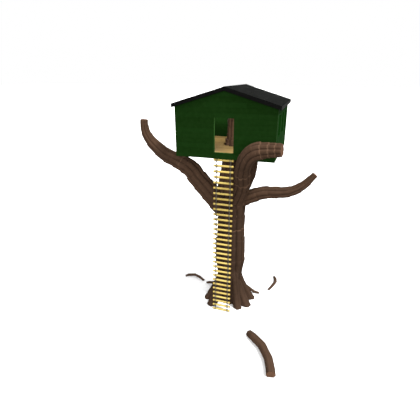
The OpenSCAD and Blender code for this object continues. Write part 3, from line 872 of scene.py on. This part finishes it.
def wall_core(along, span, low, high, depth, openings, gable=False):
    """The wall's middle layer as prisms: one below, above and between the openings."""
    parts = []
    bottoms = sorted({low, high, *[o[2] for o in openings], *[o[3] for o in openings]})
    for z0, z1 in zip(bottoms[:-1], bottoms[1:]):
        here = (z0 + z1) / 2
        cuts = sorted({span[0], span[1],
                       *[c for o in openings if o[2] < here < o[3] for c in o[:2]]})
        for start, end in zip(cuts[:-1], cuts[1:]):
            mid = (start + end) / 2
            if any(o[0] < mid < o[1] and o[2] < here < o[3] for o in openings):
                continue
            outline = [(start, z0), (end, z0), (end, z1), (start, z1)]
            if gable and z1 == high:
                outline = [(start, z0), (end, z0), (end, EAVES_Z), (HUT_X, RIDGE_Z),
                           (start, EAVES_Z)]
            parts.append(prism(outline, 1 - along, *depth))
    return parts


def board_wall(name, material, nodes, axis, faces, spans, tops, openings, limit=no_limit):
    """A wall along axis 0 (X) or 1 (Y): a core with boards on both faces. Faces, spans and tops
    are the place, reach and height of the outer side and then of the inner side. A limit trims
    the boards to the gable's slope."""
    toward = math.copysign(1, faces[1] - faces[0])
    gable = limit is gable_limit
    parts = []
    for face, span, top, low, turn, longest in zip(faces, spans, tops, (WALL_Z, FLOOR_Z),
                                                   (toward, -toward), (LONGEST_OUT, LONGEST_IN)):
        part = face_boards(rectangles(span, low, top, openings, limit, longest), axis, face, turn)
        parts.append(trim_to_gable(part) if gable else part)
    depth = sorted((faces[0] + toward * BOARD_T, faces[1] - toward * BOARD_T))
    parts += wall_core(axis, spans[0], WALL_Z, EAVES_Z, depth, openings, gable)
    points, faces, values = join(parts)
    new_piece(name, points, faces, material, nodes, smooth=False, values=values)


def build_walls(material, side_material):
    """Front and back walls reach from side to side, and the side walls fit between them."""
    spans = [(HUT_LOW[0] + room, HUT_HIGH[0] - room) for room in (0, WALL_T)]
    top = RIDGE_Z - 0.02
    door = (DOOR_LOW[0], DOOR_HIGH[0], FLOOR_Z, DOOR_TOP)
    for word, y, turn, openings, nodes in (
            ("front", HUT_LOW[1], 1, [door],
             ["front_wall_left", "front_wall_right", "front_wall_head", "door_sill"]),
            ("back", HUT_HIGH[1], -1, [], ["back_wall"])):
        board_wall(f"{word}_wall_boards", material, nodes, 0, (y, y + turn * WALL_T), spans,
                   (top, top), openings, gable_limit)
    span = (HUT_LOW[1] + WALL_T, HUT_HIGH[1] - WALL_T)
    middle = (HUT_LOW[1] + HUT_HIGH[1]) / 2
    tops = (EAVES_Z, RIDGE_Z - (HALF_W - WALL_T) * SLOPE - 0.01)
    for word, side in (("left", -1), ("right", 1)):
        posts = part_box(f"{word}_wall_posts")
        windows = [(y - WINDOW_HALF, y + WINDOW_HALF, posts[0].z, posts[1].z)
                   for y in (middle + k * WINDOW_PITCH for k in (-1, 0, 1))]
        outer = HUT_X + side * HALF_W
        board_wall(f"{word}_wall_boards", side_material,
                   [f"{word}_wall_{part}" for part in ("sill", "posts", "head")], 1,
                   (outer, outer - side * WALL_T), (span, span), tops, windows)


def build_floor(material):
    """Planks along X. A plank that meets the stem's hole is cut in two, and its square ends lie
    where the circle is widest over its width: x = middle -/+ the root of radius^2 - near^2, with
    near the least distance of the plank from the hole's middle. Others have one butt joint."""
    low, high = node_box("floor_boards")
    hole_r = STEM_FOOT_R * 1.06 + STEM_ROOM
    count = int(round((high[1] - low[1]) / PLANK_W))
    width = (high[1] - low[1]) / count
    lows, highs = [], []
    for k in range(count):
        y0, y1 = low[1] + k * width, low[1] + (k + 1) * width
        near = min(abs(y0 - STEM_Y), abs(y1 - STEM_Y)) if (y0 - STEM_Y) * (y1 - STEM_Y) > 0 else 0
        if near < hole_r:
            half = math.sqrt(hole_r**2 - near**2)
            ends = [HUT_X - half, HUT_X + half]
        else:
            ends = [low[0] + PLANK_JOINTS[k % 2] * (high[0] - low[0])] * 2
        for start, end in ((low[0], ends[0]), (ends[1], high[0])):
            lows.append((start + BOARD_GAP, y0 + BOARD_GAP, low[2]))
            highs.append((end - BOARD_GAP, y1 - BOARD_GAP, high[2]))
    points, faces, values = boxes(lows, highs, 0.004)
    new_piece("floor_planks", points, faces, material, ["floor_boards"],
              smooth=False, values=values)


# ---- Roof ----

FELT_STRIPS = 3
FELT_STEP = 0.007
FELT_WAVE = 0.003
FELT_ROUND = 0.006
FELT_ROOM = 0.0078


def build_felt(material):
    """Felt strips along the roof, each lapping the one below: the sheet's height above the slab is
    a grid over (distance down the slope, distance along) whose top steps up at every lap, with
    low waves of noise. The underside is the slab's own plane."""
    for side, word in ((-1, "left"), (1, "right")):
        low, high = node_box(f"roof_cover_{word}")
        reach = high[0] - low[0]
        cover = high[2] - low[2] - reach * SLOPE
        down = np.unique(np.concatenate([np.linspace(0, 1, 61), [0.335, 0.338, 0.665, 0.668]]))
        d, a = np.meshgrid(down, np.linspace(0, 1, 91), indexing="ij")
        x = HUT_X + side * d * reach
        y = low[1] + a * (high[1] - low[1])
        plane = high[2] - d * reach * SLOPE
        inside = np.minimum.reduce([d / 0.02, (1 - d) / 0.02, a / 0.01, (1 - a) / 0.01])
        round_edge = FELT_ROUND * (1 - np.clip(inside, 0, 1)) ** 2
        share = d * FELT_STRIPS - np.floor(np.clip(d * FELT_STRIPS, 0, FELT_STRIPS - 0.001))
        place = np.stack([x, y, np.zeros_like(x)], -1)
        wave = FELT_WAVE * (noise(place, 0.5, 11) + 1) / 2
        top = plane - FELT_ROOM + FELT_STEP * (1 - share) - wave - round_edge
        rows, cols = x.shape
        count = rows * cols
        points = [np.stack([x, y, z], -1).reshape(-1, 3) for z in (top, plane - cover)]
        i, j = np.meshgrid(np.arange(rows - 1), np.arange(cols - 1), indexing="ij")
        base = (i * cols + j).ravel()
        quads = np.stack([base, base + cols, base + cols + 1, base + 1], -1)
        rim = np.concatenate([np.arange(cols), np.arange(1, rows) * cols + cols - 1,
                              (rows - 1) * cols + np.arange(cols - 2, -1, -1),
                              np.arange(rows - 2, 0, -1) * cols])
        turn = np.roll(rim, -1)
        edge = np.stack([rim, turn, turn + count, rim + count], -1)
        quads = np.concatenate([quads, quads[:, ::-1] + count, edge])
        new_piece(f"roof_felt_{word}", np.concatenate(points), (quads[:, ::side],), material,
                  [f"roof_cover_{word}"], smooth=False)


# ---- Ladder ----

RUNGS = 32
RUNG_LOW, RUNG_HIGH = node_box("ladder_rungs")
ROPE_BOX = {word: node_box(f"ladder_rope_{word}") for word in ("left", "right")}
RUNG_R = (RUNG_HIGH[1] - RUNG_LOW[1]) / 2
LADDER_Y = (RUNG_LOW[1] + RUNG_HIGH[1]) / 2
RUNG_Z = np.linspace(RUNG_LOW[2] + RUNG_R, RUNG_HIGH[2] - RUNG_R, RUNGS)
ROPE_X = {word: (box[0][0] + box[1][0]) / 2 for word, box in ROPE_BOX.items()}


# How far a rung stays within its box, the depth of its lumps, its taper and its bend
RUNG_ROOM, RUNG_LUMP, RUNG_TAPER, RUNG_BEND = 0.003, 0.0014, 0.004, 0.0015
RUNG_ROUND = 0.010


def build_rungs(material):
    """Poles along X, all at once: a ring's reach is the rung's radius, less a slow taper and low
    noise that differ from pole to pole, with rounded edges at its ends. The worn value is high on
    the top side between the ropes, where feet stand. The end value marks the last centimetres of
    each end and the under value the underside, both for painted shade."""
    length = RUNG_HIGH[0] - RUNG_LOW[0]
    tip = np.array([0, 0.002, 0.005, RUNG_ROUND]) / length
    share = np.concatenate([tip, np.linspace(0.03, 0.97, 24), 1 - tip[::-1]])
    rows, cols = len(share), 22
    ends = np.minimum(share, 1 - share) * length
    rounded = np.sqrt(np.clip(1 - (1 - np.clip(ends / RUNG_ROUND, 0, 1)) ** 2, 0.64, 1))
    angle = circle(cols)
    pole, u, a = np.broadcast_arrays(np.arange(RUNGS)[:, None, None], share[None, :, None],
                                     angle[None, None, :])
    x = RUNG_LOW[0] + u * length
    place = np.stack([x * 0.35, 0.055 * np.cos(a), 0.055 * np.sin(a) + pole * 3.1], -1)
    taper = rng.uniform(-1, 1, RUNGS)[:, None, None] * (u - 0.5) * RUNG_TAPER
    reach = (RUNG_R - RUNG_ROOM + RUNG_LUMP * noise(place, 0.05, 31) - np.abs(taper)) \
        * rounded[None, :, None]
    bend = RUNG_BEND * np.sin(math.pi * u) * rng.uniform(-1, 1, RUNGS)[:, None, None]
    points = np.stack([x, LADDER_Y + reach * np.cos(a) + bend,
                       RUNG_Z[:, None, None] + reach * np.sin(a)], -1).reshape(RUNGS, -1, 3)
    poles = np.zeros((RUNGS, 2, 3))
    poles[:, :, 0] = [RUNG_LOW[0], RUNG_HIGH[0]]
    poles[:, :, 1] = LADDER_Y
    poles[:, :, 2] = RUNG_Z[:, None]
    points = np.concatenate([points, poles], 1)
    stride = rows * cols + 2
    faces = [repeat_faces(part, RUNGS, stride) for part in ring_faces(rows, cols)]

    def at_points(value, at_pole):
        """A value at every ring point, followed by its value at the two end points."""
        value = np.broadcast_to(value, a.shape).reshape(RUNGS, -1)
        return np.concatenate([value, np.full((RUNGS, 2), at_pole)], 1).ravel()

    on_top = smooth_step(np.sin(a), 0.3, 0.95)
    between = smooth_step(0.3 - np.abs(u - 0.5), 0, 0.12)
    # Painted shade mask: the last centimetres of each rung.
    tip_shade = smooth_step(0.032 - ends, 0, 0.024)[None, :, None]
    values = {"tone": np.repeat(rng.random(RUNGS), stride),
              "worn": at_points(on_top * between, 0.0), "end": at_points(tip_shade, 1.0),
              "under": at_points(smooth_step(-np.sin(a), 0.05, 0.85), 0.0)}
    new_piece("rung_poles", points.reshape(-1, 3), faces, material,
              ["ladder_rungs"], values=values)


STRANDS = 3
LAY = 0.085
ROPE_R = 0.014
# A knot's middle below its rung, and half its height
KNOT_BELOW, KNOT_HALF = 0.028, 0.019
# The lashing line's radius, and its four turns' places beside the rope
LASH_R = 0.0075
LASH_X = np.array([-0.036, -0.021, 0.021, 0.036])


def build_rope(word, material):
    """One upright rope with a knot under each rung. Its radius is the rope's own, swollen to the
    knot's by a smooth bump whose top lies under the rung, times the outline of three strands
    that turn once in each lay. Two turns of thin line lash each rung to it on both sides: rings
    round the rung's middle line."""
    low, high = ROPE_BOX[word]
    x = ROPE_X[word]
    z = np.arange(low[2], high[2], 0.0095)
    z[-1] = high[2]
    under = RUNG_Z[1:, None] - RUNG_R - KNOT_BELOW
    bump = np.exp(-(((z[None] - under) / KNOT_HALF) ** 4)).max(0)
    radius = ROPE_R + ((high[0] - low[0]) / 2 - ROPE_R) * bump
    ring = rings(np.stack([np.full_like(z, x), np.full_like(z, LADDER_Y), z, radius], -1),
                 (0, -1, 0), 1.0)
    angle, along = np.meshgrid(circle(18), ring.along)
    outline = bundle(angle - 2 * math.pi * along / LAY, STRANDS, 0.5)
    points, faces = skin(ring, angle, outline * (ring.radius * ring.share)[:, None])
    # The crown value is low between the strands, where the rope is painted dark as shade.
    crown = smooth_step(outline, 0.86, 1.0)
    parts = [(points, faces, {"crown": np.append(crown, crown[[0, -1], 0])})]
    around, cross = 26, 8
    t, c = np.meshgrid(circle(around), circle(cross), indexing="ij")
    i, j = np.meshgrid(np.arange(around), np.arange(cross), indexing="ij")
    beside, above = (i + 1) % around, (j + 1) % cross
    quads = np.stack([i * cross + j, beside * cross + j, beside * cross + above,
                      i * cross + above], -1).reshape(-1, 4)
    reach = RUNG_R + LASH_R * 0.4 + LASH_R * np.cos(c)
    loop = np.stack([LASH_R * np.sin(c), reach * np.cos(t), reach * np.sin(t)],
                    -1).reshape(1, -1, 3)
    middle = np.array([(x + offset, LADDER_Y, height) for height in RUNG_Z for offset in LASH_X])
    points = (loop + middle[:, None]).reshape(-1, 3)
    points[:, 2] = np.maximum(points[:, 2], 0.0)
    # Stripes across the lashing's turns: painted shade between the turns.
    crown = np.tile(0.35 + 0.3 * np.sin(6 * t + 2 * c).ravel(), len(middle))
    faces = (repeat_faces(quads, len(middle), around * cross), np.empty((0, 3), int))
    parts.append((points, faces, {"crown": crown}))
    points, faces, values = join(parts)
    new_piece(f"rope_{word}", points, faces, material, [f"ladder_rope_{word}"],
              values=values)


# ---- The frame's own pieces that stay ----

def paint_frame():
    """Timber materials for the nodes that stay. Each row is a material's name, dark and light
    colour, stretch of its grain, roughness and board pitch, and then the nodes that take it."""
    sides = ("left", "right")
    for name, low, high, stretch, roughness, pitch, nodes in (
            ("sawn_timber", (96, 74, 48), (128, 102, 70), (6, 0.7, 6), 0.8, 0, ["floor_joists"]),
            ("sawn_bearers", (92, 70, 46), (122, 96, 66), (0.7, 6, 6), 0.8, 0, ["floor_bearers"]),
            ("stained_roof_boards", (7, 7, 7), (16, 15, 14), (0.7, 6, 6), 0.7, 0.16,
             [f"roof_slab_{side}" for side in sides]),
            ("stained_barge_boards", (3, 3, 3), (9, 9, 8), (0.8, 6, 6), 0.6, 0,
             [f"{end}_barge_{side}" for end in ("front", "back") for side in sides]),
            ("stained_eaves_boards", (3, 3, 3), (9, 9, 8), (6, 0.8, 6), 0.6, 0,
             [f"eaves_board_{side}" for side in sides])):
        material = timber_material(name, srgb(*low), srgb(*high), stretch, roughness, pitch)
        for node in nodes:
            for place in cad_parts[node].material_slots:
                place.material = material


# ---- Studio ----

def sun_toward(x, y, z):
    """Turns for a lamp that shines along its own -Z, so that its light comes from (x, y, z)."""
    return (math.atan2(math.hypot(x, y), z), 0, math.atan2(y, x) + math.pi / 2)


def add_lamp(name, kind, energy, **settings):
    """A lamp of a kind and strength in the scene."""
    light = bpy.data.lights.new(name, kind)
    light.energy = energy
    for key, value in settings.items():
        setattr(light, key, value)
    return add_object(name, light)


def build_studio():
    """A wide white floor and sky, a soft sun from the upper right, weaker light from the front
    and the back, and two lamps in the room. The floor throws back less light than it shows."""
    mesh = bpy.data.meshes.new("floor")
    mesh.from_pydata([(x * 400, y * 400, -0.002) for x, y in ((-1, -1), (1, -1), (1, 1), (-1, 1))],
                     [], [(0, 1, 2, 3)])
    floor = add_object("studio_floor", mesh)
    m = Finish("studio_floor", 0.9, 0.1)
    seen = m.add("ShaderNodeLightPath").outputs["Is Camera Ray"]
    mesh.materials.append(m.finish(m.mix(seen, srgb(150, 150, 150), srgb(252, 252, 252))))
    world = bpy.data.worlds.new("studio_sky")
    world.use_nodes = True
    world.node_tree.nodes["Background"].inputs["Color"].default_value = srgb(255, 255, 255)
    world.node_tree.nodes["Background"].inputs["Strength"].default_value = 1.0
    bpy.context.scene.world = world
    for name, energy, size, place in (("sun", 4.6, 12, (0.54, -0.2, 0.82)),
                                      ("fill", 2.4, 40, (0.15, -0.93, 0.33)),
                                      ("back", 2.0, 10, (-0.1, 1.0, -0.03))):
        lamp = add_lamp(name, "SUN", energy, angle=math.radians(size))
        lamp.rotation_euler = sun_toward(*place)
    for name, x, y, z, energy in (
            ("front_lamp", HUT_X + 0.75, HUT_LOW[1] + 0.45, FLOOR_Z + 1.1, 120),
            ("back_lamp", HUT_X - 1.3, HUT_HIGH[1] - 1.1, EAVES_Z - 0.2, 170)):
        lamp = add_lamp(name, "POINT", energy, shadow_soft_size=0.25)
        lamp.location = (x, y, z)
        lamp.visible_camera = False


def build_camera():
    """The camera looks down at the hut's front from its right, with a wide lens."""
    data = bpy.data.cameras.new("camera")
    data.sensor_width = 36
    data.lens = 27.78
    data.clip_end = 1000
    camera = add_object("camera", data)
    camera.location = (3.558, -15.003, 11.749)
    camera.rotation_euler = (math.radians(67.545), 0, math.radians(17.458))
    bpy.context.scene.camera = camera
    bpy.context.scene.view_settings.view_transform = "Standard"


build_camera()
build_studio()
# Three copies of one bark: the trunk's is painted darker as shade, and the stem's painted lighter
# as light.
bark = bark_material("bark", 1.0)
shaded_bark = bark_material("shaded_bark", 0.82)
lit_bark = bark_material("lit_bark", 1.25)
build_tree(bark, shaded_bark, lit_bark)
# The side walls take a lighter green than the front and back walls: painted light, for the sun on
# the sides.
green = (srgb(12, 33, 6), srgb(15, 38, 9), srgb(36, 61, 27))
sunlit_green = (srgb(10, 40, 6), srgb(13, 45, 9), srgb(34, 66, 26))
# The front and back walls' cut faces at the doorway are painted lighter as light; the side walls'
# window faces are not.
build_walls(board_material("green_boards_across", *green, (0.6, 6, 6), lit_reveal=0.7),
            board_material("green_boards_along", *sunlit_green, (6, 0.6, 6)))
build_floor(board_material("floor_planks", srgb(110, 89, 52), srgb(130, 106, 64),
                           srgb(150, 130, 88), (0.6, 6, 6), 0.6))
build_felt(felt_material())
build_rungs(pole_material())
rope = rope_material()
build_rope("left", rope)
build_rope("right", rope)
paint_frame()
